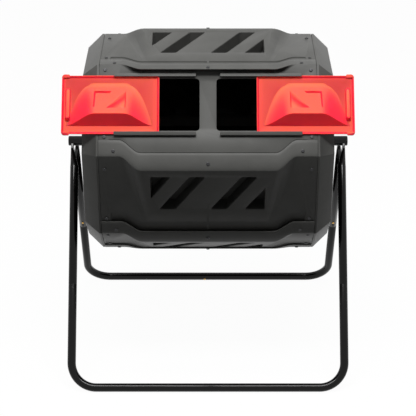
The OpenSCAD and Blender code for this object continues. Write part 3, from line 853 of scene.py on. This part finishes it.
PANELS = {
    1: "vent_panel_front", 2: "vent_panel_front_low", 3: "vent_panel_bottom", 4: "vent_panel_rear_low",
    5: "vent_panel_rear", 6: "vent_panel_rear_high", TOP: "vent_panel_top",
}


class BuildVentPanels(bpy.types.Operator):
    """Moulds the seven vent panels with their strips, flanks, lands and vents"""

    bl_idname = "tumbler.vent_panels"
    bl_label = "Vent panels"

    def execute(self, context):
        v = vents()
        outlines = vent_outlines()
        cups = [vent_cup(outline) for outline in outlines]
        for k, node in PANELS.items():
            panel = moulded_panel(k, node + "_skin")
            field = PanelSurface(k).field_matrix(v.top_high if k == TOP else v.top)
            for outline in outlines:
                cut(panel, vent_cutter(outline, field))
            tidy_mesh(panel, 0.3)
            round_vents(panel, field)
            soften(panel, drum().soft_edge, 24)
            own_cups = [smooth(duplicate(cup, "cup", field), 40) for cup in cups]
            panel = merge(node + "_skin", [panel] + own_cups)
            settle(panel, finish_of("drum"), "drum", [node])
        for cup in cups:
            bpy.data.objects.remove(cup)
        return {"FINISHED"}


HATCH_REACH = 0.03
LIP_RIB_W, LIP_RIB_TOP = 0.0025, 0.013
LIP_RIB_PLACES = (0.034, 0.101, 0.168)
RAIL_SUNK = 0.001  # depth to which the rails' feet run into the panel


class BuildDoorPanel(bpy.types.Operator):
    """Moulds the door panel with its lip, ribs, hatches and rails"""

    bl_idname = "tumbler.door_panel"
    bl_label = "Door panel"

    def execute(self, context):
        o = doors()
        on_door = face_matrix(DOOR, 0)
        panel = moulded_panel(DOOR, "door_panel_skin")
        hatch_top = o.rail_top + (o.rail_span - o.hatch_h) / 2
        for side in (-1, 1):
            outline = rectangle(side * o.post_w / 2, -hatch_top, side * o.hatch_out, -hatch_top - o.hatch_h)
            hatch = raise_solid(add_outline("hatch_cutter", outline, -HATCH_REACH), 2 * HATCH_REACH)
            bevel_edges(hatch, upright, o.hatch_r, 6)
            hatch.data.transform(on_door)
            cut(panel, hatch)
        tidy_mesh(panel, 0.3)
        soften(panel, drum().soft_edge, 24)
        settle(panel, finish_of("drum"), "drum", ["door_panel"])
        lip = o.gap * 2 + o.sheet + o.rail_t
        for side, hand in ((-1, "left"), (1, "right")):
            upper = self.rail("door_rail_%s_upper" % hand, side, -o.rail_top, -1, lip)
            lower = self.rail("door_rail_%s_lower" % hand, side, -o.rail_top - o.rail_span, 1, lip)
            ribs = merge("lip_ribs_" + hand, [self.rib(side * x, lip) for x in LIP_RIB_PLACES])
            for piece in (upper, lower, soften(ribs, 0.0005)):
                piece.data.transform(on_door)
                settle(piece, finish_of("drum"), "drum")
        return {"FINISHED"}

    def rail(self, name, side, start, into, lip):
        """L-shaped rail drawn from its section and pushed along the axle; into points at the door"""
        o = doors()
        section = [
            (0, -RAIL_SUNK), (0, lip - o.rail_tilt / 2), (into * o.rail_w, lip + o.rail_tilt / 2),
            (into * o.rail_w, lip - o.rail_t), (into * o.rail_foot, lip - o.rail_t),
            (into * o.rail_foot, -RAIL_SUNK),
        ]
        rail = raise_solid(add_outline(name, section), o.rail_out - o.rail_in)
        lay_along = Matrix(((0, 0, side, side * o.rail_in), (1, 0, 0, start), (0, 1, 0, 0), (0, 0, 0, 1)))
        rail.data.transform(lay_along)
        if side < 0:
            rail.data.flip_normals()
        return soften(rail, 0.0008, 28, 3)

    def rib(self, x, lip):
        """Web that carries the lip over the track"""
        low = doors().rail_top
        start_clean()
        bpy.ops.mesh.primitive_cube_add(size=1)
        rib = bpy.context.active_object
        rib.data.transform(Matrix.Diagonal((LIP_RIB_W, low - LIP_RIB_TOP, lip, 1)))
        rib.data.transform(Matrix.Translation((x, -(low + LIP_RIB_TOP) / 2, lip / 2)))
        return rib


# ---- Sliding doors, drawn flat: X from the near edge, Y up from the top edge, Z outward ----

# The scoop: its top, crest and foot below the door's top edge; its middle and half lengths from the near edge
SCOOP_TOP, SCOOP_CREST, SCOOP_FOOT = 0.0265, 0.1075, 0.1335
SCOOP_MIDDLE, SCOOP_HALF, CROWN_HALF = 0.1245, 0.109, 0.047
SCOOP_START = 0.012  # where its surface starts below the top edge, still flat
# Spread of its soft sides: the full spread, the run it takes, and the powers of its outline and its fall
SCOOP_SPREAD, SPREAD_RUN, SPREAD_POWER, FALL_POWER = 0.061, 0.106, 0.45, 1.4
SPREAD_FIRST = 0.0015
SHOULDER, SCOOP_BLEND = 0.014, 0.0028  # rounding beside the crown, and where the scoop leaves the floor
SCOOP_WALL, FLOOR_SUNK = 0.0072, 0.00012
SCOOP_COLUMNS, ROWS_ABOVE, ROWS_BELOW = 97, 44, 14


def smooth_max(a, b, r):
    """The larger of two values, rounded over r where they meet"""
    h = max(r - abs(a - b), 0.0) / max(r, 1e-9)
    return max(a, b) + h * h * r / 4


def scoop_rise(x, down):
    """Height of the crown; x from the near edge, down from the top edge"""
    past = down - SCOOP_TOP
    height = doors().scoop_h / (SCOOP_CREST - SCOOP_TOP) * past
    spread = SCOOP_SPREAD * (max(past, SPREAD_FIRST) / SPREAD_RUN) ** SPREAD_POWER
    beside = smooth_max(abs(x - SCOOP_MIDDLE) - CROWN_HALF, 0.0, SHOULDER)
    share = max(1 - beside / spread, 0.0) ** FALL_POWER
    if past <= 0:
        return smooth_max(height, 0.0, SCOOP_BLEND) * share
    return smooth_max(height * share, 0.0, SCOOP_BLEND * share)


def scoop_low_rise(down):
    """Height of the steep face below the crest"""
    return doors().scoop_h / (SCOOP_FOOT - SCOOP_CREST) * (SCOOP_FOOT - down)


def scoop_crest(x):
    """Where the crown meets the steep face, found by halving"""
    low, high = SCOOP_CREST - 0.01, SCOOP_FOOT
    for _ in range(40):
        middle = (low + high) / 2
        if scoop_rise(x, middle) < scoop_low_rise(middle):
            low = middle
        else:
            high = middle
    return (low + high) / 2


def scoop_place(i, j):
    x = SCOOP_MIDDLE + SCOOP_HALF * (2 * i / (SCOOP_COLUMNS - 1) - 1)
    crest = scoop_crest(x)
    if j <= ROWS_ABOVE:
        down = lerp(SCOOP_START, crest, j / ROWS_ABOVE)
        return Vector((-x, -down, scoop_rise(x, down)))
    down = lerp(crest, SCOOP_FOOT + 0.0002, (j - ROWS_ABOVE) / ROWS_BELOW)
    return Vector((-x, -down, max(scoop_low_rise(down), 0.0)))


def inset_outline(outline, widths):
    """The outline moved inward, each side by its own width"""
    points = [Vector(p) for p in outline]
    turn_sign = 1 if turn_of(outline) > 0 else -1
    sides = []
    for a, b, width in zip(points, points[1:] + points[:1], widths):
        direction = (b - a).normalized()
        sides.append((a - outward(direction) * turn_sign * width, direction))
    return [tuple(meet(*sides[i - 1], *sides[i])) for i in range(len(sides))]


def recess_cutter(outline, widths, depth):
    """Cutter of a shallow recess whose walls lean out by the given widths"""
    cutter = raise_solid(add_outline("recess_cutter", outline), -depth)
    moved = {tuple(round(c, 6) for c in p): f for p, f in zip(outline, inset_outline(outline, widths))}
    for vertex in cutter.data.vertices:
        if vertex.co.z < -depth / 2:
            x, y = moved[(round(vertex.co.x, 6), round(vertex.co.y, 6))]
            vertex.co = (x, y, -depth)
        else:
            vertex.co.z = 0.0
    select_where(cutter, lambda mesh, face: face.normal.z > 0.9)
    push_out(RECESS_ABOVE)
    face_outward()
    return bevel_edges(cutter, upright, RECESS_CORNER)


DOOR_EASE = 0.001  # room between each rail's foot and the door
NEAR_CORNER, OUTER_CORNER = (0.007, 6), (0.005, 5)  # radius and steps of the tray's corners
TRAY_RIM, TRAY_SLOPE = 0.0014, 0.0042  # its flat rim, and the slope from there to its floor
TRAY_MIDDLE = -0.01  # parts the near corners from the outer ones
TRAY_OPENING = [(-0.040, -0.131), (-0.210, -0.131), (-0.180, -0.056), (-0.070, -0.056)]
EAR_FOOT, EAR_EDGE, EAR_SUNK = 0.0050, 0.001, 0.0001
EAR_CORNER, EAR_ROOT = (0.0078, 7), (0.0026, 4)
MOULDED_EDGE = (0.0007, 24, 3, 38)  # rounding of the door's edges, as soften takes it
# The two recesses on the crown: corners from the near and the top edge, the lean of each wall, and the depth
RECESSES = (
    ([(0.163, 0.0435), (0.119, 0.0435), (0.165, 0.0915)], (0.0036, 0.0008, 0.0038), 0.0036),
    ([(0.083, 0.0435), (0.083, 0.0915), (0.132, 0.0915)], (0.0030, 0.0008, 0.0078), 0.0056),
)
RECESS_ABOVE, RECESS_CORNER = 0.004, 0.0022
# The grip rib: its width, length, height at the top and at the low end, and distance from the outer edge
GRIP_W, GRIP_TALL, GRIP_LOW, GRIP_OUT, GRIP_IN = 0.013, 0.088, 0.0040, 0.0100, 0.009
GRIP_DOWN, GRIP_SUNK, GRIP_DRAFT = 0.001, 0.0005, 0.16
GRIP_TOP_RUN, GRIP_LOW_RUN = -0.004, 0.007  # how far its ends slope in


class BuildDoors(bpy.types.Operator):
    """Moulds both sliding doors: a tray with a rim and stop ears, the scoop with two recesses, and the grip"""

    bl_idname = "tumbler.sliding_doors"
    bl_label = "Sliding doors"

    def execute(self, context):
        o = doors()
        high = o.rail_span - 2 * (o.rail_foot + DOOR_EASE)
        door = merge("sliding_door_left_moulded", [self.tray(high), self.scoop(), self.grip(high)])
        smooth(door, 38)
        mirrored = duplicate(door, "sliding_door_right_moulded", Matrix.Diagonal((-1, 1, 1, 1)))
        on_door = face_matrix(DOOR, 0, down=o.rail_top + o.rail_foot + DOOR_EASE, out=o.gap)
        for piece, side, body in ((door, -1, "door_left"), (mirrored, 1, "door_right")):
            piece.data.transform(on_door @ Matrix.Translation((side * o.near, 0, 0)))
            settle(piece, finish_of("door"), body, ["sliding_" + body])
        return {"FINISHED"}

    def tray(self, high):
        """Shallow tray: rounded plate with a flat rim, a sloped step to its floor, stop ears and an opening"""
        o = doors()
        tray = raise_solid(add_outline("tray", rectangle(0, -o.tray_top, -o.width, -high)), o.sheet)
        for outer, rounding in ((False, NEAR_CORNER), (True, OUTER_CORNER)):
            bevel_edges(tray, self.corners(lambda a: (a.x < TRAY_MIDDLE) == outer), *rounding)
        select_where(tray, lambda mesh, face: face.normal.z > 0.9)
        bpy.ops.mesh.inset(thickness=TRAY_RIM, depth=0)
        bpy.ops.mesh.inset(thickness=TRAY_SLOPE, depth=-o.dish)
        leave_edit()
        cut(tray, raise_solid(add_outline("scoop_opening", TRAY_OPENING, -CUTTER_REACH), 3 * CUTTER_REACH))
        soften(tray, *MOULDED_EDGE)
        return merge("tray", [tray, self.ear(-o.tray_top, 1), self.ear(-high, -1)])

    def corners(self, test):
        """Accepts the upright edges whose place passes the test"""
        return lambda mesh, part: upright(mesh, part) and test(edge_ends(mesh, part)[0])

    def ear(self, y, side):
        """Rounded stop lug at the outer corner of the door"""
        o = doors()
        low, high = sorted((y - side * EAR_FOOT, y + side * o.ear_out))
        outline = rectangle(-o.width, low, -o.width + o.ear_w, high)
        ear = raise_solid(add_outline("ear", outline, 2 * EAR_SUNK), o.sheet - EAR_SUNK)
        for outer, rounding in ((True, EAR_CORNER), (False, EAR_ROOT)):
            chosen = self.corners(lambda a: (a.x < -o.width + EAR_EDGE) == outer and (a.y - y) * side > 0)
            bevel_edges(ear, chosen, *rounding)
        return soften(ear, *MOULDED_EDGE)

    def scoop(self):
        """Raised scoop: a tilted crown with soft sides and two recesses, above a steep hollow front"""
        o = doors()
        scoop = add_grid("scoop", SCOOP_COLUMNS, ROWS_ABOVE + ROWS_BELOW + 1, scoop_place)
        if sum(face.normal.z for face in scoop.data.polygons) < 0:
            scoop.data.flip_normals()
        apply_modifier(scoop, "SOLIDIFY", thickness=SCOOP_WALL, offset=-1.0, use_even_offset=False)
        floor = o.sheet - o.dish - FLOOR_SUNK
        scoop.data.transform(Matrix.Translation((0, 0, floor)))
        edit_all(scoop)
        bpy.ops.mesh.bisect(plane_co=(0, 0, 0.00005), plane_no=(0, 0, 1), use_fill=True, clear_inner=True)
        leave_edit()
        tilt = math.atan2(o.scoop_h, SCOOP_CREST - SCOOP_TOP)
        on_crown = Matrix.Translation((0, -SCOOP_TOP, floor)) @ Matrix.Rotation(-tilt, 4, "X")
        for corners, widths, depth in RECESSES:
            outline = [(-x, -(down - SCOOP_TOP) / math.cos(tilt)) for x, down in corners]
            cutter = recess_cutter(outline, widths, depth)
            cutter.data.transform(on_crown)
            cut(scoop, cutter)
        return scoop

    def grip(self, high):
        """Wedge-shaped grip rib, low at its top and with a sloped lower end"""
        x, y = -doors().width + GRIP_IN + GRIP_W / 2, -high / 2 - GRIP_DOWN
        outline = rectangle(x - GRIP_W / 2, y - GRIP_TALL / 2, x + GRIP_W / 2, y + GRIP_TALL / 2)
        grip = raise_solid(add_outline("grip", outline, GRIP_SUNK), GRIP_OUT)
        for vertex in grip.data.vertices:
            if vertex.co.z > GRIP_OUT / 2:
                upper = vertex.co.y > y
                vertex.co.z = GRIP_LOW if upper else GRIP_OUT
                vertex.co.y += GRIP_TOP_RUN if upper else GRIP_LOW_RUN
                vertex.co.x = lerp(vertex.co.x, x, GRIP_DRAFT)

        def from_foot(mesh, part):
            a, b = sorted(end.z for end in edge_ends(mesh, part))
            return a < 2 * GRIP_SUNK and b - a > GRIP_LOW / 2

        def at_top(mesh, part):
            return min(end.z for end in edge_ends(mesh, part)) > GRIP_LOW * 0.8

        bevel_edges(grip, from_foot, 0.0048, 6)
        return bevel_edges(grip, at_top, 0.0022, 4)


COVERS = ["end_cover_%s_%s" % (side, half) for side in ("left", "right") for half in ("upper", "lower")]


class BuildEndCovers(bpy.types.Operator):
    """Rounds the four end cover halves, so that their seams and rims catch the light, and dresses the hubs"""

    bl_idname = "tumbler.end_covers"
    bl_label = "End covers"

    def execute(self, context):
        ease_nodes(COVERS, "_moulded", "drum", "drum", "drum_plastic", 0.0014, 20, 3)
        ease_nodes(("hub_bush_left", "hub_bush_right"), "_moulded", "cap", "drum", "cap_plastic", 0.0008, 30, 2)
        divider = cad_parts["divider_panel"].data
        divider.materials.clear()
        divider.materials.append(finish_of("drum"))
        return {"FINISHED"}


SCREW_W, SCREW_HIGH = 0.0086, 0.0021
RECESS_LONG, RECESS_THIN, RECESS_HIGH = 0.56, 0.13, 1.2  # cross recess, as shares of the head
STRIP_SCREW_IN, EDGE_SCREW_IN = 0.037, 0.014  # from the end of the drum
# Distance of each panel's first end screw from its leading edge, and of its last from the next strip
FIRST_SCREW, USUAL_FIRST, LAST_SCREW = {DOOR: 0.015, 2: 0.019, 6: 0.019}, 0.040, 0.009
SCREW_TURN = 0.7


def screw_head(width, height, name):
    """Pan head with a cross recess, its seat at Z = 0"""
    start_clean()
    bpy.ops.mesh.primitive_cylinder_add(vertices=24, radius=width / 2, depth=height, location=(0, 0, height / 2))
    head = bpy.context.active_object
    head.name = name
    bpy.ops.object.transform_apply(location=True, rotation=False, scale=False)
    bevel_edges(head, lambda mesh, part: min(v.z for v in edge_ends(mesh, part)) > height * 0.9, height * 0.45)
    for quarter in (0, 1):
        start_clean()
        bpy.ops.mesh.primitive_cube_add(size=1, location=(0, 0, 0))
        blade = bpy.context.active_object
        blade.data.transform(Matrix.Diagonal((width * RECESS_THIN, width * RECESS_LONG, height * RECESS_HIGH, 1)))
        blade.data.transform(Matrix.Translation((0, 0, height)) @ Matrix.Rotation(quarter * math.pi / 2, 4, "Z"))
        cut(head, blade)
    return smooth(head, 40)


class BuildPanelScrews(bpy.types.Operator):
    """Sets the black panel screws along the joint strips and at the ends of the panels"""

    bl_idname = "tumbler.panel_screws"
    bl_label = "Panel screws"

    def execute(self, context):
        d = drum()
        head = screw_head(SCREW_W, SCREW_HIGH, "panel_screw")
        strip_x, edge_x = d.length / 2 - STRIP_SCREW_IN, d.length / 2 - EDGE_SCREW_IN
        strip_places = [strip_matrix(k, 0, side * strip_x) for k in range(FACES) for side in (-1, 1)]
        strip_places += [strip_matrix(k, 1, 0.0) for k in range(FACES)]
        edge_places = []
        for k in range(FACES):
            last = (corner(k + 1) - corner(k)).length - d.strip_w - LAST_SCREW
            for down in (FIRST_SCREW.get(k, USUAL_FIRST), last):
                edge_places += [face_matrix(k, 0, side * edge_x, down) for side in (-1, 1)]
        for node, places in (("strip_screws", strip_places), ("edge_screws", edge_places)):
            turned_places = [m @ Matrix.Rotation(SCREW_TURN * i, 4, "Z") for i, m in enumerate(places)]
            screws = merge(node + "_fitted", [duplicate(head, "screw", m) for m in turned_places])
            settle(screws, finish_of("screw"), "drum", [node])
        bpy.data.objects.remove(head)
        return {"FINISHED"}


TUBES = ["%s_%s_%s" % (tube, end, side)
         for tube in ("upper_leg", "foot_tube") for end in ("front", "rear") for side in ("left", "right")]
CAPS = ("axle_end_cap_left", "axle_end_cap_right")


class BuildStand(bpy.types.Operator):
    """Enamels the leg and floor tubes with eased ends at every joint, and the axle with its caps"""

    bl_idname = "tumbler.stand"
    bl_label = "Stand"

    def execute(self, context):
        ease_nodes(TUBES, "_enamelled", "tube", "stand", "black_tube", 0.0007, 32, 2, 40)
        ease_nodes(["axle_tube"], "_enamelled", "tube", "stand", "black_tube", 0.0006, 32, 2, 40)
        ease_nodes(CAPS, "_moulded", "cap", "stand", "cap_plastic", 0.0008, 20, 3, 60)
        ease_nodes(("leg_bolts", "leg_nuts", "leg_spacers"), "_plated", "zinc", "stand", "zinc_steel", 0.0004, 25)
        return {"FINISHED"}


class BuildTubeScrews(bpy.types.Operator):
    """Sets a yellow zinc-plated self-tapping screw at each tube joint"""

    bl_idname = "tumbler.tube_screws"
    bl_label = "Tube screws"

    def execute(self, context):
        nodes = ("leg_joint_screws", "foot_bar_screws")
        ease_nodes(nodes, "_plated", "yellow_zinc", "stand", "brass_screw", 0.0005, 25)
        return {"FINISHED"}


AIM = (0, 0, 0.6)  # what the soft boxes point at
PAPER_SEEN = 0.97  # share of the paper that is plain white to the camera; the rest takes the shadow
PAPER_THROWN = 0.08  # share of its colour that the paper throws back on the object
WORLD_SOFT = 0.06
WHITE = (1, 1, 1, 1)


class BuildStage(bpy.types.Operator):
    """Sets the paper sweep, the soft boxes, the world and the camera"""

    bl_idname = "tumbler.stage"
    bl_label = "Stage"

    def execute(self, context):
        scene = context.scene
        scene.view_settings.view_transform = "Standard"
        self.floor()
        self.world(scene)
        self.lamp("key_box", Vector((0.0, -1.5, 3.97)), 3.0, 0.7, 152)
        self.lamp("top_box", Vector((0.0, -0.38, 4.2)), 3.0, 0.9, 66)
        camera = bpy.data.objects.new("camera", bpy.data.cameras.new("camera"))
        camera.location = (0, -4.166, 2.092)
        camera.rotation_euler = (math.radians(67.58), 0, 0)
        camera.data.lens = 144.1
        camera.data.sensor_width = 36
        scene.collection.objects.link(camera)
        scene.camera = camera
        return {"FINISHED"}

    def lamp(self, name, location, width, height, power):
        data = bpy.data.lights.new(name, "AREA")
        data.shape = "RECTANGLE"
        data.size, data.size_y, data.energy = width, height, power
        lamp = bpy.data.objects.new(name, data)
        lamp.location = location
        lamp.rotation_euler = (Vector(AIM) - location).to_track_quat("-Z", "Y").to_euler()
        bpy.context.scene.collection.objects.link(lamp)

    def floor(self):
        """Matt paper, seen white by the camera and in reflections, with a light shadow on it"""
        start_clean()
        bpy.ops.mesh.primitive_grid_add(x_subdivisions=4, y_subdivisions=4, size=16, location=(0, 0, -0.0005))
        floor = bpy.context.active_object
        floor.name = "paper_sweep"
        material, tree = new_material("matt_white_background_paper")
        tone = shade_range(tree, grain(tree, 4, 2.0), *tones(finishes().floor, 0.985, 1.0))
        path = add_node(tree, "ShaderNodeLightPath")
        thrown = add_node(tree, "ShaderNodeMix", {"data_type": "RGBA"}, i0=path.outputs["Is Diffuse Ray"], i6=tone)
        thrown.inputs[7].default_value = scaled(hex_to_linear(finishes().floor), PAPER_THROWN)
        paper = add_node(tree, "ShaderNodeBsdfDiffuse", None, Color=thrown.outputs[2])
        glow = add_node(tree, "ShaderNodeEmission", {"Color": WHITE, "Strength": 1.0})
        share = add_node(
            tree, "ShaderNodeMath", {"operation": "MULTIPLY", 1: PAPER_SEEN}, i0=self.seen_directly(tree),
        )
        mix = add_node(
            tree, "ShaderNodeMixShader", None, i0=share.outputs[0], i1=paper.outputs[0], i2=glow.outputs[0],
        )
        add_node(tree, "ShaderNodeOutputMaterial", None, Surface=mix.outputs[0])
        floor.data.materials.append(material)

    def seen_directly(self, tree):
        """1 for camera, glossy and transmission rays"""
        path = add_node(tree, "ShaderNodeLightPath")
        seen = path.outputs["Is Camera Ray"]
        for ray in ("Is Glossy Ray", "Is Transmission Ray"):
            larger = add_node(tree, "ShaderNodeMath", {"operation": "MAXIMUM"}, i0=seen, i1=path.outputs[ray])
            seen = larger.outputs[0]
        return seen

    def world(self, scene):
        world = scene.world or bpy.data.worlds.new("studio")
        scene.world = world
        world.use_nodes = True
        tree = world.node_tree
        tree.nodes.clear()
        soft = add_node(tree, "ShaderNodeBackground", {"Color": WHITE, "Strength": WORLD_SOFT})
        white = add_node(tree, "ShaderNodeBackground", {"Color": WHITE, "Strength": 1.0})
        mix = add_node(
            tree, "ShaderNodeMixShader", None, i0=self.seen_directly(tree), i1=soft.outputs[0], i2=white.outputs[0],
        )
        add_node(tree, "ShaderNodeOutputWorld", None, Surface=mix.outputs[0])


OPERATORS = [
    BuildStage, BuildVentPanels, BuildDoorPanel, BuildDoors, BuildEndCovers, BuildPanelScrews, BuildStand,
    BuildTubeScrews,
]
SETTINGS = {
    "tumbler_drum": DrumSizes, "tumbler_vents": VentSizes, "tumbler_doors": DoorSizes, "tumbler_finishes": Finishes,
}


class TumblerPanel(bpy.types.Panel):
    """Lists the tumbler's pieces and their sizes"""

    bl_idname = "VIEW3D_PT_tumbler"
    bl_label = "Compost tumbler"
    bl_space_type = "VIEW_3D"
    bl_region_type = "UI"
    bl_category = "Tumbler"

    def draw(self, context):
        for operator in OPERATORS:
            self.layout.operator(operator.bl_idname)
        for name, group in SETTINGS.items():
            box = self.layout.box()
            for key in group.__annotations__:
                box.prop(getattr(context.scene, name), key)


def register():
    for cls in list(SETTINGS.values()) + OPERATORS + [TumblerPanel]:
        bpy.utils.register_class(cls)
    for name, group in SETTINGS.items():
        setattr(bpy.types.Scene, name, PointerProperty(type=group))


def unregister():
    for name in SETTINGS:
        delattr(bpy.types.Scene, name)
    for cls in [TumblerPanel] + OPERATORS[::-1] + list(SETTINGS.values())[::-1]:
        bpy.utils.unregister_class(cls)


def main():
    register()
    for operator in OPERATORS:
        area, name = operator.bl_idname.split(".")
        getattr(getattr(bpy.ops, area), name)()


if __name__ == "__main__":
    main()
